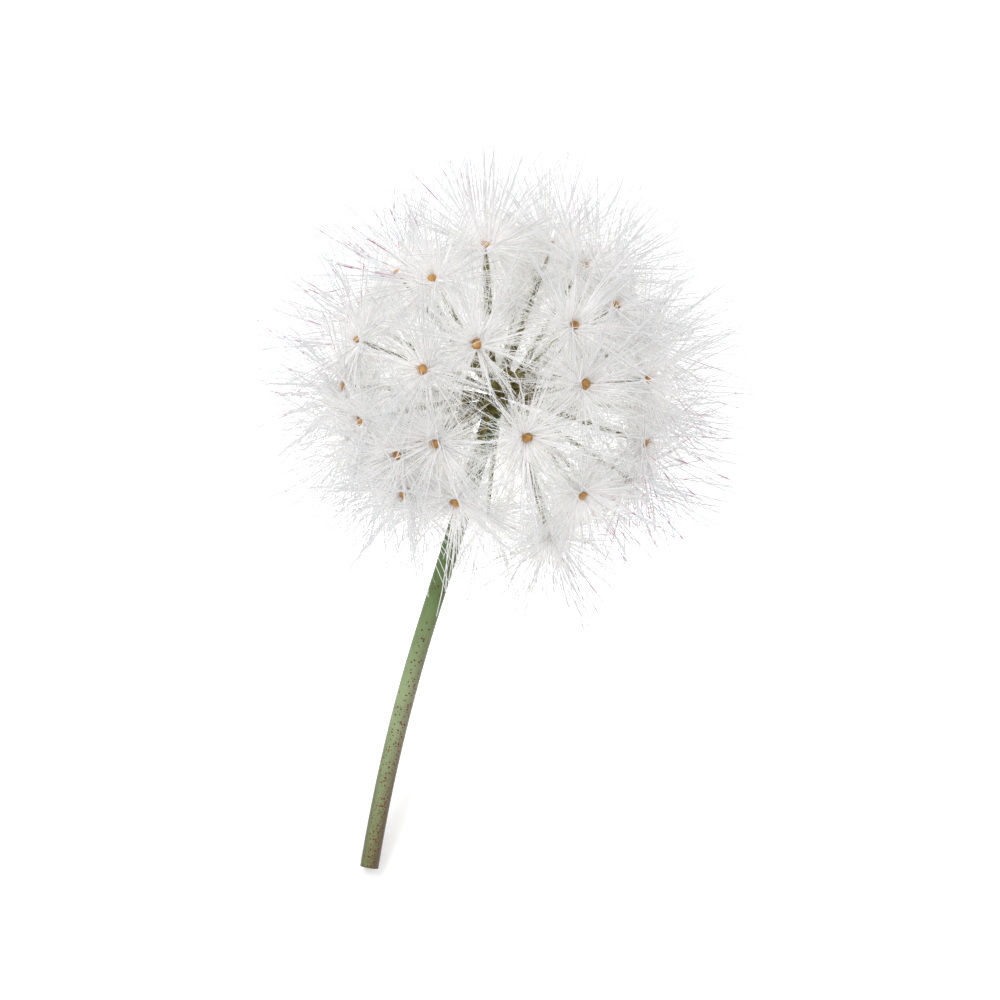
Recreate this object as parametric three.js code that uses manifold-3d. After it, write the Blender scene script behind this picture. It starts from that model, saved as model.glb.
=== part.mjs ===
// An artificial dandelion seed head, lying on a table: millimetres, +Z up.
//
// A plastic-sheathed wire stem carries a stack of five star mouldings. Every star is a collar with
// olive plastic stalks, and every stalk ends in a round cap that holds a tuft of nylon fibres.
// The tufts fill a ball, which lies on the table with its lowest fibres pressed flat, and the cut
// end of the stem touches the table as well.
//
// The head has its own frame: its origin is the hub's centre, +Z runs out of the top of the head in
// line with the stem, +X is the side of the head that faces up from the table, and +Y goes to the right.

import * as THREE from "three";
import { mergeVertices } from "three/addons/utils/BufferGeometryUtils.js";
import Module from "manifold-3d";

const wasm = await Module();
wasm.setup();

const GAP = 0.3; // clearance between pieces that fit into or onto each other

// The ball of fibres
const BALL_RADIUS = 58;
const BALL_HOLLOW = 20; // the tufts' solids start this far from the hub's centre
const HUB_HEIGHT = 52; // above the table: the ball is pressed in by BALL_RADIUS - HUB_HEIGHT
const TUFT_SPACING = 0.3; // between the solids of neighbouring tufts

// The stem
const STEM_RADIUS = 2.3;
const WIRE_RADIUS = 0.8;
const STEM_STRAIGHT = 60; // length below the hub's centre before the bend starts
const STEM_BENT = 63; // length of the bent part, down to the cut end
const BEND_RADIUS = 440;

// The stars: a collar on the wire, with stalks
const COLLAR_RADIUS = 2.9;
const COLLAR_THICKNESS = 1.7;
const COLLAR_PITCH = COLLAR_THICKNESS + GAP;
const COLLAR_SIDES = 16;
const BORE_RADIUS = WIRE_RADIUS + GAP;
const CROWN_DOME = 1.7; // height of the closed top of the uppermost collar
const STALK_ROOT_RADIUS = 0.7;
const STALK_SWELL_RADIUS = 0.85;
const STALK_NECK_RADIUS = 0.55;
const STALK_START = 2.2; // distance of a stalk's root from the axis
const STALK_LEAD = 4; // pull of the part that leaves the collar square to the axis
const STALK_REACH = 40; // distance of a cap's outer face from the hub's centre
const STALK_BEND_AT = 0.4; // share of the reach where a stalk has turned to point straight outwards
const CAP_RADIUS = 1.15;
const CAP_THICKNESS = 1.3;
const STALK_SIDES = 6;

// Each tier is one star, from the top of the head down. "polar" is its stalks' angle from the top of
// the head. "upper" holds each stalk on the upper side of the head as [azimuth, change in polar]: no
// two stalks of such a star are bent quite alike. "under" stalks share the rest of the circle evenly.
const TIERS = [
  { polar: 28, upper: [[-40, 5], [40, -3]], under: 3 },
  { polar: 56, upper: [[-84, 2], [-44, 2], [22, 4], [50, -12]], under: 4 },
  { polar: 82, upper: [[-70, 6], [-28, 10], [-12, -4], [30, -2], [66, -12], [76, 10]], under: 5 },
  { polar: 109, upper: [[-76, -4], [-58, 7], [-17, 7], [15, -5], [51, 9]], under: 5 },
  { polar: 137, upper: [[-78, -12], [-35, -12], [-38, 6], [-4, 1], [88, 6]], under: 4 },
];
const AXIAL_TILT = { polar: 7, azimuth: 20 }; // the crown's own stalk, at the top of the head

const radians = THREE.MathUtils.degToRad;

// Angle between the stem's straight part and the table, with the cut end's lower edge on the table
function stemSlope() {
  const along = STEM_STRAIGHT + BEND_RADIUS * Math.sin(STEM_BENT / BEND_RADIUS);
  const reach = Math.hypot(along, STEM_RADIUS);
  return Math.asin(HUB_HEIGHT / reach) - Math.atan(STEM_RADIUS / along);
}

// Direction in the head's frame
function direction(polar, azimuth) {
  return new THREE.Vector3(
    Math.sin(radians(polar)) * Math.cos(radians(azimuth)),
    Math.sin(radians(polar)) * Math.sin(radians(azimuth)),
    Math.cos(radians(polar)),
  );
}

// ---- closed meshes and solids

function toSolid(geometry) {
  const bare = geometry.clone();
  bare.deleteAttribute("normal");
  bare.deleteAttribute("uv");
  const merged = mergeVertices(bare, 1e-4);
  const mesh = new wasm.Mesh({
    numProp: 3,
    vertProperties: merged.attributes.position.array,
    triVerts: new Uint32Array(merged.index.array),
  });
  return new wasm.Manifold(mesh);
}

function toGeometry(solid) {
  const mesh = solid.getMesh();
  const geometry = new THREE.BufferGeometry();
  geometry.setAttribute("position", new THREE.BufferAttribute(mesh.vertProperties, mesh.numProp));
  geometry.setIndex(new THREE.BufferAttribute(mesh.triVerts, 1));
  geometry.computeVertexNormals();
  return geometry;
}

function largestBody(solid) {
  return solid.decompose().sort((a, b) => b.volume() - a.volume())[0];
}

// A turned solid about Z, from [radius, height] pairs
function turned(pairs, sides) {
  const profile = pairs.map(([radius, height]) => new THREE.Vector2(radius, height));
  return new THREE.LatheGeometry(profile, sides).rotateX(Math.PI / 2);
}

// Bends a turned geometry, whose axis is Z from 0 up, along a curve at its real length.
// Heights past the curve's end go straight on.
function bentAlong(geometry, curve) {
  const length = curve.getLength();
  const position = geometry.attributes.position;
  const side = new THREE.Vector3(0, 0, 1);
  for (let i = 0; i < position.count; i++) {
    const height = position.getZ(i);
    const share = THREE.MathUtils.clamp(height / length, 0, 1);
    const centre = curve.getPointAt(share);
    const forward = curve.getTangentAt(share);
    centre.addScaledVector(forward, height - share * length);
    const across = side.clone().cross(forward);
    if (across.length() < 0.2) across.set(1, 0, 0);
    across.normalize();
    const third = forward.clone().cross(across);
    centre.addScaledVector(across, position.getX(i));
    centre.addScaledVector(third, position.getY(i));
    position.setXYZ(i, centre.x, centre.y, centre.z);
  }
  return geometry;
}

// ---- the stalks

// Every stalk: its tier, its direction, and the curve from its collar to its cap
function listStalks() {
  const stalks = [];
  TIERS.forEach((tier, index) => {
    const height = (2 - index) * COLLAR_PITCH;
    const azimuths = tier.upper.map(([azimuth]) => azimuth);
    const first = Math.max(...azimuths);
    const free = 360 - (first - Math.min(...azimuths));
    const even = Array.from({ length: tier.under }, (_, i) => [
      first + (free * (i + 1)) / (tier.under + 1),
      i % 2 ? 3 : -3,
    ]);
    for (const [azimuth, change] of [...tier.upper, ...even]) {
      const sideways = direction(90, azimuth);
      const root = sideways.clone().multiplyScalar(STALK_START).setZ(height);
      stalks.push(makeStalk(index, direction(tier.polar + change, azimuth), root, sideways));
    }
  });
  const top = new THREE.Vector3(0, 0, 2 * COLLAR_PITCH + COLLAR_THICKNESS / 2);
  stalks.push(makeStalk(0, direction(AXIAL_TILT.polar, AXIAL_TILT.azimuth), top, direction(0, 0)));
  return stalks;
}

// A stalk leaves its root along "lead" and turns outwards
function makeStalk(tier, out, root, lead) {
  const led = root.clone().addScaledVector(lead, STALK_LEAD);
  const turn = out.clone().multiplyScalar(STALK_REACH * STALK_BEND_AT);
  const tip = out.clone().multiplyScalar(STALK_REACH);
  return { tier, out, curve: new THREE.CubicBezierCurve3(root, led, turn, tip) };
}

function stalkSolid({ curve }) {
  const length = curve.getLength();
  const capFoot = length - CAP_THICKNESS;
  const profile = [
    [0, 0],
    [STALK_ROOT_RADIUS, 0],
    [STALK_SWELL_RADIUS, 0.35 * length],
    [STALK_NECK_RADIUS, capFoot - 0.3],
    [CAP_RADIUS, capFoot],
    [CAP_RADIUS * 0.9, length - 0.35],
    [0, length],
  ];
  return toSolid(bentAlong(turned(profile, STALK_SIDES), curve));
}

// The room that a stalk and its cap need inside the tufts
function stalkRoom({ curve }) {
  const length = curve.getLength();
  const radius = (CAP_RADIUS + GAP) / Math.cos(Math.PI / STALK_SIDES);
  const profile = [
    [0, 0.3 * length],
    [radius, 0.3 * length],
    [radius, 0.6 * length],
    [radius, length + GAP],
    [0, length + GAP],
  ];
  return toSolid(bentAlong(turned(profile, STALK_SIDES), curve));
}

// ---- the stars

function collarSolid(index) {
  const centre = (2 - index) * COLLAR_PITCH;
  const low = centre - COLLAR_THICKNESS / 2;
  const high = centre + COLLAR_THICKNESS / 2;
  if (index > 0) {
    const ring = [
      [BORE_RADIUS, low],
      [COLLAR_RADIUS, low],
      [COLLAR_RADIUS, high],
      [BORE_RADIUS, high],
      [BORE_RADIUS, low],
    ];
    return toSolid(turned(ring, COLLAR_SIDES));
  }
  // The crown closes the stack: its bore is blind and its top is a dome
  const crown = [
    [0, centre + GAP],
    [BORE_RADIUS, centre + GAP],
    [BORE_RADIUS, low],
    [COLLAR_RADIUS, low],
    [COLLAR_RADIUS, high],
    [COLLAR_RADIUS * 0.75, high + CROWN_DOME * 0.65],
    [0, high + CROWN_DOME],
  ];
  return toSolid(turned(crown, COLLAR_SIDES));
}

function starMesh(index, stalks) {
  const own = stalks.filter((stalk) => stalk.tier === index);
  const solid = own.reduce((sum, stalk) => sum.add(stalkSolid(stalk)), collarSolid(index));
  return named(`stalk_star_${index + 1}`, toGeometry(solid), materials.stalk);
}

// ---- the tufts

// The ball's share that one tuft fills: what lies nearest to its stalk, with a socket for the stalk
function tuftMesh(stalk, name, stalks, ball, table) {
  const near = stalks.filter((other) => other !== stalk && other.out.angleTo(stalk.out) < radians(75));
  let solid = ball;
  for (const other of near) {
    const away = stalk.out.clone().sub(other.out).normalize();
    solid = solid.trimByPlane(away.toArray(), TUFT_SPACING / 2);
  }
  solid = solid.trimByPlane(stalk.out.toArray(), BALL_HOLLOW);
  solid = solid.trimByPlane(table.normal.toArray(), table.offset);
  if (stalk.out.z < 0) {
    const fromStem = stalk.out.clone().setZ(0).normalize();
    solid = solid.trimByPlane(fromStem.toArray(), STEM_RADIUS + GAP);
  }
  for (const other of [stalk, ...near]) solid = solid.subtract(stalkRoom(other));
  return named(name, toGeometry(largestBody(solid)), materials.fibre);
}

// ---- the stem

// The centre line of the stem from a height on the head's axis down to the cut end
class StemLine extends THREE.Curve {
  constructor(top) {
    super();
    this.top = top;
    this.arcLengthDivisions = 400;
  }

  getPoint(share) {
    const run = this.top + STEM_STRAIGHT + STEM_BENT;
    const below = share * run - this.top; // length below the hub's centre
    const turn = Math.max(below - STEM_STRAIGHT, 0) / BEND_RADIUS;
    const along = Math.min(below, STEM_STRAIGHT) + BEND_RADIUS * Math.sin(turn);
    return new THREE.Vector3(0, BEND_RADIUS * (1 - Math.cos(turn)), -along);
  }
}

function rod(name, top, radius, boreRadius, curveSegments, material) {
  const section = new THREE.Shape().absarc(0, 0, radius, 0, 2 * Math.PI);
  if (boreRadius) section.holes.push(new THREE.Path().absarc(0, 0, boreRadius, 0, 2 * Math.PI));
  const options = { extrudePath: new StemLine(top), steps: 10, curveSegments };
  return named(name, new THREE.ExtrudeGeometry(section, options), material);
}

// ---- the whole

const materials = {
  stem: new THREE.MeshStandardMaterial({ color: 0x8fa36c, roughness: 0.5, metalness: 0 }),
  wire: new THREE.MeshStandardMaterial({ color: 0x8c8c8a, roughness: 0.4, metalness: 0.9 }),
  stalk: new THREE.MeshStandardMaterial({ color: 0x7d7832, roughness: 0.55, metalness: 0 }),
  fibre: new THREE.MeshStandardMaterial({ color: 0xe6e6e2, roughness: 0.4, metalness: 0 }),
};

function named(name, geometry, material) {
  const mesh = new THREE.Mesh(geometry, material);
  mesh.name = name;
  return mesh;
}

function buildHead() {
  const head = new THREE.Group();
  const slope = stemSlope();
  const stalks = listStalks();
  const ball = toSolid(new THREE.IcosahedronGeometry(BALL_RADIUS, 3));
  const table = {
    normal: new THREE.Vector3(Math.cos(slope), 0, Math.sin(slope)), // up, in the head's frame
    offset: -HUB_HEIGHT,
  };

  const sleeveTop = -2 * COLLAR_PITCH - COLLAR_THICKNESS / 2 - GAP;
  const wireTop = 2 * COLLAR_PITCH;
  head.add(rod("stem", sleeveTop, STEM_RADIUS, BORE_RADIUS, 8, materials.stem));
  head.add(rod("stem_wire", wireTop, WIRE_RADIUS, 0, 4, materials.wire));
  TIERS.forEach((_, index) => head.add(starMesh(index, stalks)));
  const counts = {};
  for (const stalk of stalks) {
    counts[stalk.tier] = (counts[stalk.tier] ?? 0) + 1;
    const name = `tuft_${stalk.tier + 1}_${String(counts[stalk.tier]).padStart(2, "0")}`;
    head.add(tuftMesh(stalk, name, stalks, ball, table));
  }

  const up = new THREE.Vector3(0, -Math.sin(slope), Math.cos(slope));
  const right = new THREE.Vector3(1, 0, 0);
  const top = new THREE.Vector3(0, Math.cos(slope), Math.sin(slope));
  head.applyMatrix4(new THREE.Matrix4().makeBasis(up, right, top).setPosition(0, 0, HUB_HEIGHT));
  return head;
}

// The part's origin is on the table, under the middle of the whole
const part = new THREE.Group();
part.add(buildHead());
part.updateMatrixWorld(true);
const middle = new THREE.Box3().setFromObject(part, true).getCenter(new THREE.Vector3());
part.position.set(-middle.x, -middle.y, 0);

export default part;
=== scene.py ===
"""An artificial dandelion seed head, lying on its side on a pale table.

The head has its own frame, in millimetres: the origin is the hub's centre, +Z runs out of the top in
line with the stem, +X is the side that faces up from the table and +Y goes to the right.
"""

import math

import bmesh
import bpy
import numpy as np
from mathutils import Matrix, Vector, noise


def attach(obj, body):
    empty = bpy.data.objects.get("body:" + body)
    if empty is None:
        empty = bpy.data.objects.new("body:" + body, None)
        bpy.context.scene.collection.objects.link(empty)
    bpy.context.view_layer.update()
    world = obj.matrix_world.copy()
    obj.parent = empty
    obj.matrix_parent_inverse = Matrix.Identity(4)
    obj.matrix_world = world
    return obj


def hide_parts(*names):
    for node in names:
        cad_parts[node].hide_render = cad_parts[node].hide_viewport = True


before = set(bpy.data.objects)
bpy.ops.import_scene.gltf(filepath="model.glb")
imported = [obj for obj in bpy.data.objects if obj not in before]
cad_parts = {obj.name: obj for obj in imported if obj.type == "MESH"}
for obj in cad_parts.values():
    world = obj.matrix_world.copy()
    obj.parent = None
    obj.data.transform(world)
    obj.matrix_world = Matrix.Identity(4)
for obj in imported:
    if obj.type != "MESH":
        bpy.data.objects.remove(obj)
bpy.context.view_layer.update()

MM = 0.001  # the head's frame is in millimetres and the scene in metres

# ---- the head's dimensions, as in the frame

HUB_HEIGHT = 52.0
STEM_RADIUS = 2.3
WIRE_RADIUS = 0.8
STEM_STRAIGHT = 60.0
STEM_BENT = 63.0
BEND_RADIUS = 440.0
COLLAR_RADIUS = 2.9
COLLAR_THICKNESS = 1.7
GAP = 0.3
COLLAR_PITCH = COLLAR_THICKNESS + GAP
BORE_RADIUS = WIRE_RADIUS + GAP
BORE_SHOWN = 3.0  # how deep the open ends of the sheath go
CROWN_DOME = 1.7
STALK_ROOT_RADIUS = 0.7
STALK_SWELL_RADIUS = 0.85
STALK_NECK_RADIUS = 0.55
SWELL_AT, NECK_AT = 0.35, 0.85  # shares of the stalk's length
STALK_START = 2.2
STALK_LEAD = 4.0
STALK_REACH = 40.0
STALK_BEND_AT = 0.4
CAP_RADIUS = 1.15
CAP_THICKNESS = 1.3
STRING_RADIUS = 0.14  # of the glue drawn out at a cap

# One tier per star: the stalks' angle from the top of the head, the stalks on the upper side as
# (azimuth, change in that angle), and how many more share the rest of the circle evenly
TIERS = [
    (28, [(-40, 5), (40, -3)], 3),
    (56, [(-84, 2), (-44, 2), (22, 4), (50, -12)], 4),
    (82, [(-70, 6), (-28, 10), (-12, -4), (30, -2), (66, -12), (76, 10)], 5),
    (109, [(-76, -4), (-58, 7), (-17, 7), (15, -5), (51, 9)], 5),
    (137, [(-78, -12), (-35, -12), (-38, 6), (-4, 1), (88, 6)], 4),
]
AXIAL_TILT = (7, 20)
FILM_GLINT_SIDE = (111, 90)  # painted reflection: the film's pink and blue glints show most on this side and on the opposite one

# ---- the finer pieces that only this script makes

# A tuft's three sorts of filament: how many, sides, parts along it, half width and half thickness
LONG, SHORT, FILM = 0, 1, 2
SORTS = [
    (94, 5, 5, 0.135, 0.135),
    (525, 3, 3, 0.08, 0.08),
    (34, 4, 5, 0.18, 0.05),
]
SORT_OF = np.repeat([LONG, SHORT, FILM], [sort[0] for sort in SORTS])
SIDES_OF = np.array([sort[1] for sort in SORTS])[SORT_OF]
COUNT = len(SORT_OF)
FLUFF = SORT_OF == SHORT
LINT = FLUFF & (np.arange(COUNT) % 5 == 0)  # these cling to the stalk, below the cap
RUFF = FLUFF & (np.arange(COUNT) % 5 == 1)  # and these stand close round the cap
LINT_ROOTS = (0.45, 0.88)  # shares of the stalk's length
BUNDLES = 30  # the long ones stand in this many loose bundles
GOLDEN_ANGLE = 2.39996  # from one bundle to the next round the stalk
FILAMENT_TAPER = 0.55  # a filament's end is this much as thick as its root
FILAMENT_LENGTH = (25.6, 3.1)  # the long ones' mean and spread
FILAMENT_LIMIT = 67.5  # no filament ends further from the hub's centre
ROW_STEP = 10.0  # between the straight filaments before they are put in place
CAP_CLEAR = 1.45  # filaments pass this far beside a cap
NECK_CLEAR = 0.8  # and this far beside a stalk's neck where it is left bare
SPOKE_CLEAR = 1.2  # and beside the bare stretch of a spoke near the hub
SPOKE_BARE_AT = 0.3
NECK_BARE_AT = 0.95
STEM_CLEAR = 2.2  # and beside the stem's middle, just below the hub
STEM_SHOWN = 12.0  # how far down from the hub the stem shows between the filaments
STEM_CLEAN = (-9.5, -6.0)  # heights of the stretch of the stem that fewest filaments cross


def stem_slope():
    """Angle between the stem's straight part and the table, with the cut end's lower edge on it."""
    along = STEM_STRAIGHT + BEND_RADIUS * math.sin(STEM_BENT / BEND_RADIUS)
    return math.asin(HUB_HEIGHT / math.hypot(along, STEM_RADIUS)) - math.atan(STEM_RADIUS / along)


SLOPE = stem_slope()
UP = Vector((0, -math.sin(SLOPE), math.cos(SLOPE)))
RIGHT = Vector((1, 0, 0))
TOP = Vector((0, math.cos(SLOPE), math.sin(SLOPE)))
TABLE_UP = np.array([math.cos(SLOPE), 0, math.sin(SLOPE)])  # away from the table, in the head's frame


def hub_centre():
    """Where the hub's centre is in the scene, from the upper end of the wire, which is on its axis."""
    points = [v.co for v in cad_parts["stem_wire"].data.vertices]
    highest = max(p.dot(TOP) for p in points)
    end = [p for p in points if p.dot(TOP) > highest - 0.01 * MM]
    return sum(end, Vector()) / len(end) - TOP * (2 * COLLAR_PITCH * MM)


HUB = hub_centre()
HEAD = Matrix.Translation(HUB) @ Matrix((UP, RIGHT, TOP)).transposed().to_4x4() @ Matrix.Scale(MM, 4)


def direction(polar, azimuth):
    """A direction in the head's frame by its angle from the top and its azimuth, in degrees."""
    polar, azimuth = math.radians(polar), math.radians(azimuth)
    return Vector((
        math.sin(polar) * math.cos(azimuth),
        math.sin(polar) * math.sin(azimuth),
        math.cos(polar),
    ))


class Stalk:
    """A stalk's curve, from its root in the collar to the outer face of its cap."""

    def __init__(self, tier, number, out, root, lead):
        self.tier = tier
        self.number = number
        self.out = out
        turn = out * (STALK_REACH * STALK_BEND_AT)
        self.ends = (root, root + lead * STALK_LEAD, turn, out * STALK_REACH)

    def at(self, t):
        a, b, c, d = self.ends
        s = 1 - t
        return a * s**3 + b * (3 * s * s * t) + c * (3 * s * t * t) + d * t**3

    @property
    def tuft(self):
        return f"tuft_{self.tier + 1}_{self.number:02d}"


def list_stalks():
    stalks = []
    for tier, (polar, upper, under) in enumerate(TIERS):
        height = (2 - tier) * COLLAR_PITCH
        azimuths = [azimuth for azimuth, _ in upper]
        free = 360 - (max(azimuths) - min(azimuths))
        even = [(max(azimuths) + free * (i + 1) / (under + 1), 3 if i % 2 else -3) for i in range(under)]
        for number, (azimuth, change) in enumerate(upper + even, 1):
            sideways = direction(90, azimuth)
            root = sideways * STALK_START + Vector((0, 0, height))
            stalks.append(Stalk(tier, number, direction(polar + change, azimuth), root, sideways))
    crown = 1 + sum(stalk.tier == 0 for stalk in stalks)
    top = Vector((0, 0, 2 * COLLAR_PITCH + COLLAR_THICKNESS / 2))
    stalks.append(Stalk(0, crown, direction(*AXIAL_TILT), top, direction(0, 0)))
    return stalks


STALKS = list_stalks()

# ---- meshes


def rod(bm, curve, radius, sides, rings, bumps=0.0, seed=0.0):
    """Adds a closed rod along curve(t), with radius(t), for t from 0 to 1. bumps roughens it."""
    own = bmesh.new()
    bmesh.ops.create_cone(own, cap_ends=True, cap_tris=False, segments=sides, radius1=1, radius2=1, depth=1)
    long_edges = [e for e in own.edges if abs(e.verts[0].co.z - e.verts[1].co.z) > 0.5]
    bmesh.ops.subdivide_edges(own, edges=long_edges, cuts=rings, use_grid_fill=True)
    side = Vector((0, 0, 1))
    for v in own.verts:
        t = v.co.z + 0.5
        centre = curve(t)
        forward = (curve(min(t + 0.01, 1)) - curve(max(t - 0.01, 0))).normalized()
        across = side.cross(forward)
        across = across.normalized() if across.length > 0.2 else Vector((1, 0, 0))
        third = forward.cross(across)
        around = across * v.co.x + third * v.co.y
        size = radius(t)
        if bumps:
            size *= 1 + bumps * noise.noise(centre * 0.9 + around * 0.8 + Vector((seed, 0, 0)))
        v.co = centre + around * size
    join(bm, own)


def join(bm, own):
    """Adds one bmesh to another."""
    mesh = bpy.data.meshes.new("joined")
    own.to_mesh(mesh)
    own.free()
    bm.from_mesh(mesh)
    bpy.data.meshes.remove(mesh)


def finish_mesh(bm, name, material):
    """Makes an object of a bmesh that is in the head's frame."""
    bmesh.ops.transform(bm, matrix=HEAD, verts=bm.verts)
    bmesh.ops.recalc_face_normals(bm, faces=bm.faces)
    mesh = bpy.data.meshes.new(name)
    bm.to_mesh(mesh)
    bm.free()
    mesh.materials.append(material)
    mesh.shade_smooth()
    piece = bpy.data.objects.new(name, mesh)
    bpy.context.scene.collection.objects.link(piece)
    return piece


# ---- materials


class Nodes:
    """A new material's node tree, with short calls to add and join nodes."""

    def __init__(self, name):
        self.material = bpy.data.materials.new(name)
        self.material.use_nodes = True
        self.tree = self.material.node_tree
        self.shader = self.tree.nodes["Principled BSDF"]

    def add(self, kind, **settings):
        node = self.tree.nodes.new(kind)
        for key, value in settings.items():
            setattr(node, key, value)
        return node

    def join(self, source, target):
        self.tree.links.new(source, target)

    def ramp(self, source, stops):
        """Colours by a number. Each stop is a position and a colour, or one number for a grey."""
        node = self.add("ShaderNodeValToRGB")
        elements = node.color_ramp.elements
        while len(elements) < len(stops):
            elements.new(0.5)
        for element, (position, colour) in zip(elements, stops):
            element.position = position
            element.color = (*colour, 1) if isinstance(colour, tuple) else (colour, colour, colour, 1)
        self.join(source, node.inputs["Fac"])
        return node.outputs["Color"]

    def noise(self, coordinates, scale, detail):
        node = self.add("ShaderNodeTexNoise")
        node.inputs["Scale"].default_value = scale
        node.inputs["Detail"].default_value = detail
        self.join(coordinates, node.inputs["Vector"])
        return node.outputs["Fac"]

    def mix(self, factor, first, second, blend="MIX"):
        node = self.add("ShaderNodeMix", data_type="RGBA", blend_type=blend)
        for socket, value in ((node.inputs[0], factor), (node.inputs[6], first), (node.inputs[7], second)):
            if isinstance(value, bpy.types.NodeSocket):
                self.join(value, socket)
            else:
                socket.default_value = (*value, 1) if isinstance(value, tuple) else value
        return node.outputs[2]

    def math(self, operation, first, second=0.0):
        node = self.add("ShaderNodeMath", operation=operation)
        for socket, value in zip(node.inputs, (first, second)):
            if isinstance(value, bpy.types.NodeSocket):
                self.join(value, socket)
            else:
                socket.default_value = value
        return node.outputs[0]

    def bump(self, height, strength, distance):
        node = self.add("ShaderNodeBump")
        node.inputs["Strength"].default_value = strength
        node.inputs["Distance"].default_value = distance
        self.join(height, node.inputs["Height"])
        self.join(node.outputs["Normal"], self.shader.inputs["Normal"])

    def set(self, **values):
        """Sets the shader's own sockets; an underscore stands for a space in a name."""
        for name, value in values.items():
            self.shader.inputs[name.replace("_", " ")].default_value = value


def fibre_material(name, roughness, film):
    """Thin plastic filament: white at its root and a clearer grey towards its end.

    film is the thickness of the film's coloured layer, or 0 for plain nylon.
    """
    root, middle, clear = (0.999, 0.998, 0.995), (0.996, 0.992, 0.985), (0.79, 0.80, 0.805)
    n = Nodes(name)
    strand = n.add("ShaderNodeUVMap", uv_map="Strand")
    split = n.add("ShaderNodeSeparateXYZ")
    n.join(strand.outputs["UV"], split.inputs["Vector"])
    along = n.ramp(split.outputs["Y"], [(0.0, root), (0.3, middle), (0.6, clear), (1.0, clear)])
    if film:
        # painted reflection: short stretches are painted pink or pale blue, as where the film catches the
        # light
        spread_out = n.add("ShaderNodeMapping")
        spread_out.inputs["Scale"].default_value = (400, 7, 1)
        n.join(strand.outputs["UV"], spread_out.inputs["Vector"])
        patches = n.noise(spread_out.outputs["Vector"], 1.0, 1)
        from_hub = n.add("ShaderNodeVectorMath", operation="SUBTRACT")
        n.join(n.add("ShaderNodeTexCoord").outputs["Object"], from_hub.inputs[0])
        from_hub.inputs[1].default_value = HUB
        sideways = n.add("ShaderNodeVectorMath", operation="DOT_PRODUCT")
        n.join(from_hub.outputs["Vector"], sideways.inputs[0])
        sideways.inputs[1].default_value = HEAD.to_3x3() @ direction(*FILM_GLINT_SIDE) / MM
        away = n.math("ABSOLUTE", sideways.outputs["Value"])
        outer = n.ramp(away, [(0.032, 0), (0.046, 1)])
        pink = n.math("MULTIPLY", n.ramp(patches, [(0.55, 0), (0.6, 1)]), outer)
        blue = n.math("MULTIPLY", n.ramp(patches, [(0.38, 1), (0.43, 0)]), outer)
        along = n.mix(pink, along, (0.52, 0.18, 0.32))
        along = n.mix(blue, along, (0.66, 0.86, 0.90))
    n.join(along, n.shader.inputs["Base Color"])
    n.set(Roughness=roughness)
    if film:
        n.set(Thin_Film_Thickness=film, Thin_Film_IOR=1.6, Specular_IOR_Level=1.0)
        n.bump(n.noise(spread_out.outputs["Vector"], 9.0, 2), 0.7, 0.0003)
    return n.material


def stalk_material():
    """Olive moulded plastic, uneven and a little dirty."""
    n = Nodes("olive_plastic")
    place = n.add("ShaderNodeTexCoord").outputs["Object"]
    patches = n.noise(place, 700, 4)
    dark, middle, light = (0.08, 0.06, 0.012), (0.21, 0.18, 0.04), (0.38, 0.34, 0.11)
    olive = n.ramp(patches, [(0.3, dark), (0.5, middle), (0.7, light)])
    n.join(olive, n.shader.inputs["Base Color"])
    n.set(Roughness=0.42)
    n.bump(n.noise(place, 2400, 3), 0.5, 0.0001)
    return n.material


def glue_material():
    """Amber glue bead."""
    n = Nodes("amber_glue")
    place = n.add("ShaderNodeTexCoord").outputs["Object"]
    patches = n.noise(place, 900, 3)
    dark, middle, light = (0.27, 0.11, 0.015), (0.50, 0.24, 0.045), (0.66, 0.39, 0.11)
    amber = n.ramp(patches, [(0.3, dark), (0.5, middle), (0.75, light)])
    n.join(amber, n.shader.inputs["Base Color"])
    n.set(Roughness=0.3, Coat_Weight=0.4)
    n.bump(n.noise(place, 1800, 2), 0.4, 0.0001)
    return n.material


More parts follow.
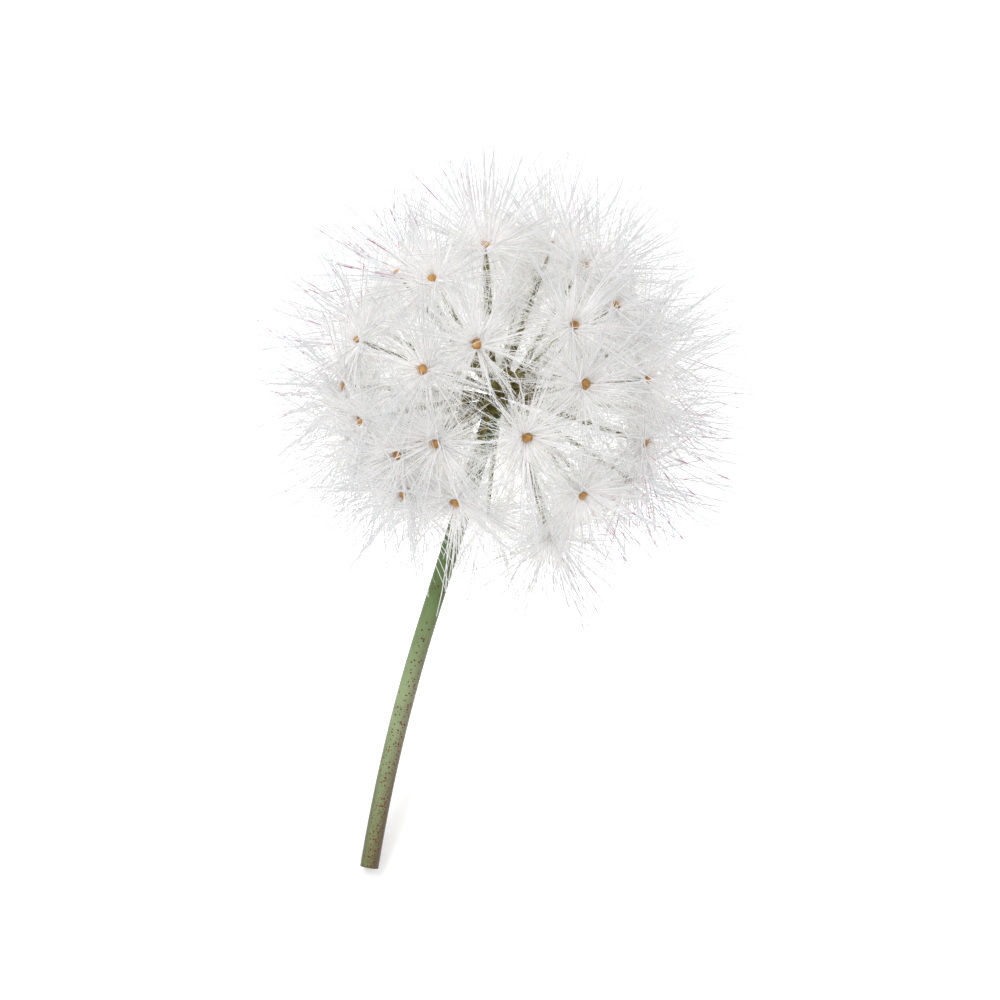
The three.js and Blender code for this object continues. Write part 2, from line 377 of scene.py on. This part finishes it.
def sheath_material():
    """Green plastic sheath, sprayed red-brown on one side and at the cut, with dark red paint specks and
    painted shade.
    """
    n = Nodes("green_sheath")
    place = n.add("ShaderNodeTexCoord").outputs["Object"]
    strand = n.add("ShaderNodeUVMap", uv_map="Strand")
    split = n.add("ShaderNodeSeparateXYZ")
    n.join(strand.outputs["UV"], split.inputs["Vector"])
    around, down = split.outputs["X"], split.outputs["Y"]
    # painted shade and light: darkest at the top, shaded by the head, lightest mid-way, darker towards the
    # cut end
    green = n.ramp(down, [
        (0.0, (0.11, 0.17, 0.055)),
        (0.40, (0.14, 0.22, 0.07)),
        (0.62, (0.29, 0.37, 0.19)),
        (0.85, (0.25, 0.31, 0.15)),
        (1.0, (0.16, 0.19, 0.07)),
    ])
    cloudy = n.ramp(n.noise(place, 220, 4), [(0.3, (0.86, 0.86, 0.84)), (0.7, (1.06, 1.06, 1.06))])
    body = n.mix(1.0, green, cloudy, "MULTIPLY")
    # painted shade: darker along both sides and underneath, and a painted highlight a little lighter along
    # the top
    edges = n.ramp(around, [
        (0.0, 0.3), (0.1, 0.75), (0.25, 0.6), (0.5, 0.3),
        (0.58, 0.75), (0.72, 1.05), (0.85, 1.0), (0.93, 0.8), (1.0, 0.3),
    ])
    body = n.mix(1.0, body, edges, "MULTIPLY")
    side = n.ramp(around, [(0.3, 0.0), (0.46, 1.0), (0.62, 0.9), (0.78, 0.0)])
    low = n.ramp(down, [(0.4, 0.1), (0.7, 0.5), (1.0, 0.75)])
    sprayed = n.math("MULTIPLY", side, low)
    spray = n.ramp(down, [(0.72, (0.22, 0.13, 0.12)), (0.92, (0.10, 0.075, 0.045))])
    body = n.mix(sprayed, body, spray)
    # painted shade: towards the cut end all but the top of the sheath is painted near black
    lower_painted_shade = n.math(
        "MULTIPLY",
        n.ramp(around, [(0.52, 0.8), (0.66, 0.0), (0.82, 0.0), (0.97, 0.8)]),
        n.ramp(down, [(0.68, 0.0), (0.84, 1.0)]),
    )
    body = n.mix(lower_painted_shade, body, (0.07, 0.075, 0.035))
    specks = n.add("ShaderNodeTexVoronoi")
    specks.inputs["Scale"].default_value = 1700
    n.join(place, specks.inputs["Vector"])
    chance = n.add("ShaderNodeSeparateColor")
    n.join(specks.outputs["Color"], chance.inputs["Color"])
    often = n.math(
        "MULTIPLY",
        n.ramp(down, [(0.0, 0.22), (0.5, 0.34), (0.75, 0.8), (0.9, 1.0)]),
        n.ramp(around, [(0.5, 1.0), (0.74, 0.9), (0.86, 0.4), (1.0, 0.3)]),
    )
    reach = n.math("ADD", n.math("MULTIPLY", chance.outputs[0], 0.28), 0.2)
    near = n.math("LESS_THAN", specks.outputs["Distance"], reach)
    speck = n.math("MULTIPLY", near, n.math("LESS_THAN", chance.outputs[1], often))
    body = n.mix(speck, body, (0.17, 0.022, 0.03))
    # finer spots, thick at the cut end
    fine = n.noise(place, 2600, 2)
    thick = n.math("MULTIPLY", n.ramp(down, [(0.62, 0.0), (0.95, 1.0)]), often)
    spots = n.math("MULTIPLY", n.ramp(fine, [(0.56, 0.0), (0.62, 1.0)]), thick)
    n.join(n.mix(spots, body, (0.15, 0.05, 0.035)), n.shader.inputs["Base Color"])
    n.set(Roughness=0.36, Specular_IOR_Level=0.3)
    n.bump(n.noise(place, 1500, 3), 0.2, 0.0001)
    return n.material


def wire_material():
    """Dull steel, unevenly worn."""
    n = Nodes("steel_wire")
    place = n.add("ShaderNodeTexCoord").outputs["Object"]
    steel = n.ramp(n.noise(place, 1200, 4), [(0.35, (0.30, 0.29, 0.27)), (0.65, (0.55, 0.55, 0.54))])
    n.join(steel, n.shader.inputs["Base Color"])
    n.set(Metallic=1.0, Roughness=0.35)
    return n.material


NYLON = fibre_material("nylon_fibre", 0.35, 0)
FILM_FIBRE = fibre_material("film_fibre", 0.12, 430)
OLIVE = stalk_material()
AMBER = glue_material()

# ---- the stem


def stem_line(top):
    """The stem's centre line from a height on the head's axis to the cut end, for t from 0 to 1."""
    run = top + STEM_STRAIGHT + STEM_BENT

    def at(t):
        below = t * run - top
        turn = max(below - STEM_STRAIGHT, 0) / BEND_RADIUS
        along = min(below, STEM_STRAIGHT) + BEND_RADIUS * math.sin(turn)
        return Vector((0, BEND_RADIUS * (1 - math.cos(turn)), -along))

    return at


def make_stem():
    """The sheath, cut off square at both ends."""
    top = -2 * COLLAR_PITCH - COLLAR_THICKNESS / 2 - GAP
    line = stem_line(top)
    bm = bmesh.new()
    rod(bm, line, lambda t: STEM_RADIUS, 48, 60)
    ends = [f for f in bm.faces if len(f.verts) > 4]
    bmesh.ops.inset_region(bm, faces=ends, thickness=STEM_RADIUS - BORE_RADIUS, use_even_offset=True)
    layer = bm.loops.layers.uv.new("Strand")
    run = top + STEM_STRAIGHT + STEM_BENT
    for face in bm.faces:
        for loop in face.loops:
            t = (top - loop.vert.co.z) / run
            beside = loop.vert.co - line(min(max(t, 0), 1))
            loop[layer].uv = (math.atan2(beside.x, beside.y) / (2 * math.pi) + 0.5, t)
    # the bore for the wire, a blind hole at each end
    holes = [f for f in bm.faces if len(f.verts) > 4]
    for hole in holes:
        sunk = bmesh.ops.extrude_discrete_faces(bm, faces=[hole])["faces"][0]
        bmesh.ops.translate(bm, verts=sunk.verts, vec=-sunk.normal * BORE_SHOWN)
    return finish_mesh(bm, "sheath", sheath_material())


def make_wire():
    """The wire in the sheath, and the peg above it that the stars are threaded on."""
    bm = bmesh.new()
    rod(bm, stem_line(2 * COLLAR_PITCH), lambda t: WIRE_RADIUS, 16, 60)
    return finish_mesh(bm, "wire", wire_material())


# ---- the stars


def stalk_radius(t):
    """The moulding's radius: thickest a third of the way along and thin under the cap."""
    if t < SWELL_AT:
        return STALK_ROOT_RADIUS + (STALK_SWELL_RADIUS - STALK_ROOT_RADIUS) * t / SWELL_AT
    share = min((t - SWELL_AT) / (NECK_AT - SWELL_AT), 1)
    return STALK_SWELL_RADIUS + (STALK_NECK_RADIUS - STALK_SWELL_RADIUS) * share


def add_collar(bm, index):
    """Adds a star's collar: a ring, or on the first star a domed crown with a blind bore."""
    centre = (2 - index) * COLLAR_PITCH
    low, high = centre - COLLAR_THICKNESS / 2, centre + COLLAR_THICKNESS / 2
    profile = [(BORE_RADIUS, low), (COLLAR_RADIUS, low), (COLLAR_RADIUS, high)]
    if index:
        profile.append((BORE_RADIUS, high))
    else:
        profile = [(0, centre + GAP), (BORE_RADIUS, centre + GAP)] + profile
        profile += [(COLLAR_RADIUS * 0.75, high + CROWN_DOME * 0.65), (0, high + CROWN_DOME)]
    verts = [bm.verts.new((radius, 0, height)) for radius, height in profile]
    edges = [bm.edges.new(pair) for pair in zip(verts, verts[1:])]
    if index:
        edges.append(bm.edges.new((verts[-1], verts[0])))
    bmesh.ops.spin(
        bm, geom=verts + edges, cent=(0, 0, 0), axis=(0, 0, 1), angle=2 * math.pi, steps=32, use_merge=True
    )
    bmesh.ops.remove_doubles(bm, verts=bm.verts, dist=1e-4)


def make_star(index):
    """One moulding: the collar and its stalks."""
    bm = bmesh.new()
    add_collar(bm, index)
    for stalk in STALKS:
        if stalk.tier == index:
            seed = 10.0 * stalk.number + 100 * index
            rod(bm, lambda t: stalk.at(t * 0.98), stalk_radius, 10, 20, bumps=0.22, seed=seed)
    star = finish_mesh(bm, f"star_{index + 1}", OLIVE)
    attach(star, "root")
    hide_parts(f"stalk_star_{index + 1}")


def make_caps(index):
    """The beads at the stalks' ends, with drawn out strings of glue."""
    bm = bmesh.new()
    rng = np.random.default_rng(40 + index)
    for stalk in STALKS:
        if stalk.tier != index:
            continue
        bead = bmesh.new()
        bmesh.ops.create_uvsphere(bead, u_segments=14, v_segments=9, radius=1)
        turn = stalk.out.to_track_quat("Z", "Y").to_matrix().to_4x4()
        width = CAP_RADIUS * rng.uniform(1.0, 1.15)
        flat = Matrix.Diagonal((width, width * rng.uniform(0.8, 1.0), CAP_THICKNESS / 2, 1))
        place = Matrix.Translation(stalk.out * (STALK_REACH - CAP_THICKNESS * 0.4))
        spun = Matrix.Rotation(rng.uniform(0, 2 * math.pi), 4, "Z")
        bmesh.ops.transform(bead, matrix=place @ turn @ spun @ flat, verts=bead.verts)
        for v in bead.verts:
            v.co += (v.co - place.translation) * 0.35 * noise.noise(v.co * 0.9)
        join(bm, bead)
        for _ in range(rng.integers(0, 3)):
            start = stalk.out * (STALK_REACH - CAP_THICKNESS * 0.6)
            away = (turn.to_3x3() @ Vector((*rng.normal(0, 1, 2), 0.2))).normalized()
            reach, sag = rng.uniform(1.5, 2.6), Vector(rng.normal(0, 0.5, 3))

            def string(t):
                return start + away * (0.6 + reach * t) + sag * t * t

            rod(bm, string, lambda t: STRING_RADIUS * (1.1 - t), 5, 5)
    caps = finish_mesh(bm, f"caps_{index + 1}", AMBER)
    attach(caps, "root")


# ---- the tufts


def filament_bundle():
    """A mesh of straight filaments, side by side along X. Z runs from 0 to 1 along each."""
    bm = bmesh.new()
    first = 0
    for count, sides, parts, _, _ in SORTS:
        own = bmesh.new()
        bmesh.ops.create_cone(
            own, cap_ends=True, cap_tris=False, segments=sides, radius1=1, radius2=FILAMENT_TAPER, depth=1
        )
        long_edges = [e for e in own.edges if abs(e.verts[0].co.z - e.verts[1].co.z) > 0.5]
        bmesh.ops.subdivide_edges(own, edges=long_edges, cuts=parts - 1, use_grid_fill=True)
        bmesh.ops.translate(own, verts=own.verts, vec=(ROW_STEP * first, 0, 0.5))
        whole = own.verts[:] + own.edges[:] + own.faces[:]
        bmesh.ops.spin(
            own, geom=whole, cent=(0, 0, 0), axis=(0, 0, 1), dvec=(ROW_STEP, 0, 0), angle=0,
            steps=count - 1, use_duplicate=True,
        )
        join(bm, own)
        first += count
    bmesh.ops.recalc_face_normals(bm, faces=bm.faces)
    mesh = bpy.data.meshes.new("filament_bundle")
    bm.to_mesh(mesh)
    bm.free()
    return mesh


def values_of(elements, name, kind, width=1):
    """One value, or a row of them, for each of a mesh's elements."""
    values = np.empty(len(elements) * width, kind)
    elements.foreach_get(name, values)
    return values.reshape(-1, width) if width > 1 else values


def add_maps(mesh, shape, number):
    """The Strand map holds a filament's shade and the place along it; OFBake gives it its own cell.

    shape holds the vertices' places about their own filament, and number says which filament it is.
    """
    corners = values_of(mesh.loops, "vertex_index", int)
    starts = values_of(mesh.polygons, "loop_start", int)
    totals = values_of(mesh.polygons, "loop_total", int)
    face = np.repeat(np.arange(len(totals)), totals)
    x, y, z = shape[corners].T
    cell = number[corners]
    centres = np.add.reduceat(shape[corners], starts) / totals[:, None]
    middle = np.arctan2(centres[:, 1], centres[:, 0])[face]
    turn = (np.arctan2(y, x) - middle + np.pi) % (2 * np.pi) - np.pi
    side = np.floor((middle + np.pi) / (2 * np.pi) * SIDES_OF[cell]) % SIDES_OF[cell]
    is_end = (np.maximum.reduceat(z, starts) - np.minimum.reduceat(z, starts) < 1e-3)[face]
    u = np.where(is_end, 0.25 + 0.5 * z + 0.1 * x, (side + 0.5 + 0.4 * np.sign(turn)) / SIDES_OF[cell])
    v = np.where(is_end, 0.025 + 0.02 * y, z * 0.9 + 0.08)
    columns = math.ceil(math.sqrt(COUNT))
    bake = np.column_stack([cell % columns + 0.05 + 0.9 * u, cell // columns + 0.05 + 0.9 * v]) / columns
    shade = np.random.default_rng(5).random(COUNT)[cell]
    along = np.where(FLUFF[cell], 0.3 * z, z)  # a short one is white to its end
    for name, values in (("Strand", np.column_stack([shade, along])), ("OFBake", bake)):
        layer = mesh.uv_layers.new(name=name)
        layer.uv.foreach_set("vector", values.astype(np.float32).ravel())


def unit(vectors):
    return vectors / np.maximum(np.linalg.norm(vectors, axis=-1, keepdims=True), 1e-9)


def turned_to(out, polar, azimuth):
    """Directions at these angles from a stalk's own direction."""
    z = np.array(out)
    x = unit(np.cross(z, [0.3, 0.5, 0.81]))
    y = np.cross(z, x)
    flat = np.outer(np.cos(azimuth), x) + np.outer(np.sin(azimuth), y)
    return flat * np.sin(polar)[:, None] + np.outer(np.cos(polar), z)


def spread(rng, out):
    """Directions of one tuft's filaments, and each one's bundle. The short ones stand all round."""
    share = (np.arange(BUNDLES) + rng.uniform(0.2, 0.8, BUNDLES)) / BUNDLES
    azimuth = np.arange(BUNDLES) * GOLDEN_ANGLE + rng.uniform(-0.4, 0.4, BUNDLES)
    bundles = turned_to(out, np.radians(4 + 94 * share**1.15), azimuth)
    bundle = rng.integers(0, BUNDLES, COUNT)
    lowest = np.select([LINT, RUFF], [15, 48], 78)
    highest = np.select([LINT, RUFF], [70, 82], 140)
    polar = rng.uniform(lowest, highest)
    loose = turned_to(out, np.radians(polar), rng.uniform(0, 2 * math.pi, COUNT))
    ways = np.where(FLUFF[:, None], loose, bundles[bundle])
    # a quarter of them stray well away from the rest
    stray = np.where(rng.random((COUNT, 1)) < 0.25, 0.2, 0.075)
    return unit(ways + rng.normal(0, 1, (COUNT, 3)) * stray), bundle


def above_table(points):
    """Height above the table of points in the head's frame."""
    return points @ TABLE_UP + HUB_HEIGHT


def short_of_hub(rng, root, ways, length, bundle):
    """Lengths that leave the hub and the stem's top partly in sight from above.

    Some bundles end before they pass over them, and the others cross them in white bunches.
    """
    t = np.linspace(0.1, 1, 19)
    x, y, z = np.moveaxis(root[:, None] + ways[:, None] * (t * length[:, None])[..., None], 2, 0)

    def share_before(over):
        return np.where(over.any(axis=1), t[over.argmax(axis=1)], 1.0)

    # a few end near the hub or the stem's top
    beside = np.hypot(y, z - np.clip(z, -STEM_SHOWN, 0))
    first = share_before((beside < rng.uniform(2.5, 8.5, (COUNT, 1))) & (x > 8))
    few = np.where(FLUFF, rng.random(COUNT) < 0.15, (rng.random(BUNDLES) < 0.08)[bundle])
    kept = np.where(few, length * np.maximum(first, 0.2), length)
    # and half the bundles end before the stretch of the stem that shows best
    beside = np.hypot(y, z - np.clip(z, *STEM_CLEAN))
    half = (rng.random(BUNDLES) < 0.5)[bundle][:, None]
    first = share_before((beside < STEM_CLEAR) & (x > STEM_RADIUS) & half)
    return np.minimum(kept, length * np.maximum(first - 0.03, 0.1))


def places_in_sight():
    """What shows from above past the filaments: the caps, some necks and spokes, and the stem's top.

    Each is a place, how far the filaments pass beside it, and the stalk if it is a cap.
    """
    places = []
    for stalk in STALKS:
        if stalk.out.x < 0.05:
            continue
        places.append((stalk.out * STALK_REACH, CAP_CLEAR, stalk))
        if stalk.number % 2:
            places.append((stalk.at(NECK_BARE_AT), NECK_CLEAR, None))
        if stalk.number % 3 != 2:
            places.append((stalk.at(SPOKE_BARE_AT), SPOKE_CLEAR, None))
    for share in (0.55, 0.75, 0.95):
        places.append((Vector((STEM_RADIUS, 0, -STEM_SHOWN * share)), STEM_CLEAR, None))
    return places


PLACES = places_in_sight()


def past_places(stalk, root, ways, length, sag):
    """Turns filaments aside that would hide a place from above. sag is their bend by t squared.

    It goes round the places twice, because a turn away from one can lead over another.
    """
    t = np.linspace(0.05, 1, 20)[None, :, None]
    row = np.arange(COUNT)
    for place, clear, owner in PLACES + PLACES:
        course = root[:, None] + ways[:, None] * (t * length[:, None, None]) + sag[:, None] * t * t
        course = course - np.array(place)
        beside = np.linalg.norm(course[..., 1:], axis=2) + np.where(course[..., 0] > -0.5, 0, 100)
        nearest = beside.argmin(axis=1)
        point, gap, share = course[row, nearest], beside[row, nearest], t[0, nearest, 0] * length
        point[:, 0] = 0
        turn = (gap < clear)[:, None]
        if owner is stalk:
            aside = np.cross(ways, [1.0, 0, 0])
            aside = unit(aside) * np.sign((aside * point).sum(1) + 1e-9)[:, None]
            ways = np.where(turn & (ways[:, :1] > 0.2), unit(ways + 0.8 * aside), ways)
        else:
            turned = unit(ways * share[:, None] + unit(point) * (clear - gap)[:, None])
            ways = np.where(turn & (share > 2)[:, None], turned, ways)
    return ways


def filament_points(stalk, seed, shape, number):
    """The places of all of a tuft's vertices. shape holds the straight bundle's own coordinates."""
    rng = np.random.default_rng(seed)
    out = np.array(stalk.out)
    ways, bundle = spread(rng, out)
    angles = np.degrees(np.arccos(np.clip(ways @ out, -1, 1)))
    sideways = unit(ways - (ways @ out)[:, None] * out)
    root = out * (STALK_REACH - 0.8 - rng.uniform(0.0, 0.9, (COUNT, 1)))
    root = root + sideways * rng.uniform(np.where(angles < 50, 1.15, 0.6), 1.25)[:, None]
    low = np.array([stalk.at(t) for t in rng.uniform(*LINT_ROOTS, COUNT)])
    root = np.where(LINT[:, None], low + sideways * STALK_NECK_RADIUS, root)
    length = rng.normal(*FILAMENT_LENGTH, COUNT) - np.clip(angles - 50, 0, 60) * 0.07
    # three in ten of the long ones are cut shorter
    length *= np.where(rng.random(COUNT) < 0.3, rng.uniform(0.5, 0.95, COUNT), 1)
    shortest = np.where(RUFF, 3, 6)
    longest = np.select([LINT, RUFF], [12, 9], 19)
    length = np.where(FLUFF, rng.uniform(shortest, longest), length)
    bend = unit(np.cross(ways, rng.normal(0, 1, (COUNT, 3))))
    amount = np.where(FLUFF, rng.normal(0, 0.3, COUNT), rng.normal(0, 0.11, COUNT))
    # a filament that would pass the ball's surface is shorter
    for _ in range(2):
        tips = root + ways * length[:, None]
        past = np.linalg.norm(tips, axis=1) - (FILAMENT_LIMIT - rng.exponential(1.5, COUNT))
        length = np.where(past > 0, length - past, length)
    length = short_of_hub(rng, root, ways, length, bundle)
    sag = bend * (amount * length)[:, None]
    ways = past_places(stalk, root, ways, length, sag)
    # a filament that would pass through the table lies along it
    room = above_table(root) - rng.uniform(0.2, 2.5, COUNT)
    climb = ways @ TABLE_UP
    steep = np.where(-climb * length > room, -room / length, climb)
    level = unit(ways - climb[:, None] * TABLE_UP)
    flat = np.sqrt(np.clip(1 - steep**2, 0, 1))
    ways = level * flat[:, None] + steep[:, None] * TABLE_UP

    across = unit(np.cross(ways, rng.normal(0, 1, (COUNT, 3))))
    third = np.cross(ways, across)
    size = np.array([sort[3:] for sort in SORTS])[SORT_OF] * rng.normal(1, 0.12, (COUNT, 1))
    wave = rng.uniform(0.05, 0.35, (COUNT, 1))
    turns = rng.uniform(6, 13, (COUNT, 1))
    start = rng.uniform(0, 2 * math.pi, (COUNT, 1))
    # each filament is laid along its course, with a slight wave
    t = shape[:, 2:3]
    i = number
    centre = root[i] + ways[i] * (t * length[i, None]) + sag[i] * t * t
    centre = centre + across[i] * (wave[i] * t * np.sin(turns[i] * t + start[i]))
    around = across[i] * (shape[:, :1] * size[i, :1]) + third[i] * (shape[:, 1:2] * size[i, 1:])
    points = clear_of_stem(centre) + around
    sunk = np.clip(0.05 - above_table(points), 0, None)
    return points + sunk[:, None] * TABLE_UP


def clear_of_stem(points):
    """Moves points that would be inside the stem out to its surface."""
    beside = np.hypot(points[:, 0], points[:, 1])
    need = np.where(points[:, 2] < 0, STEM_RADIUS + 0.25, 0)
    push = np.clip(need - beside, 0, None) / np.maximum(beside, 1e-6)
    return points + np.column_stack([points[:, :2] * push[:, None], np.zeros(len(points))])


def make_tufts():
    """Each tuft is a copy of one bundle of straight filaments, with each filament put in its place."""
    bundle = filament_bundle()
    shape = values_of(bundle.vertices, "co", float, 3)
    number = np.rint(shape[:, 0] / ROW_STEP).astype(int)
    shape[:, 0] -= number * ROW_STEP
    add_maps(bundle, shape, number)
    bundle.materials.append(NYLON)
    bundle.materials.append(FILM_FIBRE)
    middles = values_of(bundle.polygons, "center", float, 3)
    sort = SORT_OF[np.rint(middles[:, 0] / ROW_STEP).astype(int)]
    bundle.polygons.foreach_set("material_index", (sort == FILM).astype(int))
    matrix = np.array(HEAD)
    for seed, stalk in enumerate(STALKS):
        mesh = bundle.copy()
        mesh.name = stalk.tuft
        points = filament_points(stalk, 1000 + seed, shape, number)
        points = points @ matrix[:3, :3].T + matrix[:3, 3]
        mesh.vertices.foreach_set("co", points.ravel())
        mesh.update()
        tuft = bpy.data.objects.new(f"fibre_{stalk.tuft}", mesh)
        bpy.context.scene.collection.objects.link(tuft)
        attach(tuft, "root")
        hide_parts(stalk.tuft)
    bpy.data.meshes.remove(bundle)


# ---- the studio

ROOM_LIGHT = 0.83
FLOOR_GLOW = 1.4
FLOOR_DROP = 0.3 * MM  # the lowest fibres just clear the floor
LIGHT_BOUNCES = 12  # white fibres pass light on many times
CAMERA_ROLL = 17.4
PICTURE_WIDTH = 250 * MM  # at the hub's distance
HUB_IN_PICTURE = (-0.25 * MM, 26.75 * MM)  # from the middle, to the right and up
LENS = 100.0


def make_floor():
    bm = bmesh.new()
    bmesh.ops.create_grid(bm, x_segments=1, y_segments=1, size=4)
    mesh = bpy.data.meshes.new("floor")
    bm.to_mesh(mesh)
    bm.free()
    n = Nodes("pale_floor")
    n.set(Base_Color=(0.93, 0.93, 0.93, 1), Roughness=0.9, Specular_IOR_Level=0.1)
    # the table glows a little, most under the head
    away = n.add("ShaderNodeVectorMath", operation="DISTANCE")
    n.join(n.add("ShaderNodeTexCoord").outputs["Object"], away.inputs[0])
    away.inputs[1].default_value = (HUB.x, HUB.y, 0)
    glow = n.ramp(away.outputs["Value"], [(0.0, 1), (0.045, 0.9), (0.065, 0.25), (0.12, 0.15)])
    n.join(glow, n.shader.inputs["Emission Color"])
    n.set(Emission_Strength=FLOOR_GLOW)
    n.material.cycles.emission_sampling = "NONE"
    mesh.materials.append(n.material)
    floor = bpy.data.objects.new("floor", mesh)
    floor.location = (0, 0, -FLOOR_DROP)
    bpy.context.scene.collection.objects.link(floor)


def add_light(name, place, size, power):
    """Adds a square light that faces the hub from a place beside it."""
    lamp = bpy.data.lights.new(name, "AREA")
    lamp.size = size
    lamp.energy = power
    light = bpy.data.objects.new(name, lamp)
    light.location = HUB + Vector(place)
    light.rotation_euler = (-Vector(place)).to_track_quat("-Z", "Y").to_euler()
    bpy.context.scene.collection.objects.link(light)


def make_lights():
    world = bpy.data.worlds.new("studio")
    world.use_nodes = True
    background = world.node_tree.nodes["Background"]
    background.inputs["Color"].default_value = (1, 1, 1, 1)
    background.inputs["Strength"].default_value = ROOM_LIGHT
    bpy.context.scene.world = world
    add_light("key", (-0.5, 0.35, 0.9), 0.12, 1.2)
    add_light("softbox", (-0.55, -0.1, 0.85), 0.45, 2.6)


def make_camera():
    """Looks down on the head, square to the stem."""
    roll = math.radians(CAMERA_ROLL)
    picture_up = TOP * math.cos(roll) - RIGHT * math.sin(roll)
    picture_right = TOP * math.sin(roll) + RIGHT * math.cos(roll)
    camera = bpy.data.cameras.new("camera")
    camera.lens = LENS
    far = PICTURE_WIDTH * LENS / camera.sensor_width
    aim = HUB - picture_right * HUB_IN_PICTURE[0] - picture_up * HUB_IN_PICTURE[1]
    place = Matrix((picture_right, picture_up, UP)).transposed().to_4x4()
    place.translation = aim + UP * far
    holder = bpy.data.objects.new("camera", camera)
    holder.matrix_world = place
    bpy.context.scene.collection.objects.link(holder)
    bpy.context.scene.camera = holder
    scene = bpy.context.scene
    scene.view_settings.view_transform = "Standard"
    scene.cycles.max_bounces = LIGHT_BOUNCES
    scene.cycles.diffuse_bounces = LIGHT_BOUNCES


make_camera()
make_floor()
make_lights()
for index in range(len(TIERS)):
    make_star(index)
    make_caps(index)
stem = make_stem()
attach(stem, "root")
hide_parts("stem")
wire = make_wire()
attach(wire, "root")
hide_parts("stem_wire")
make_tufts()
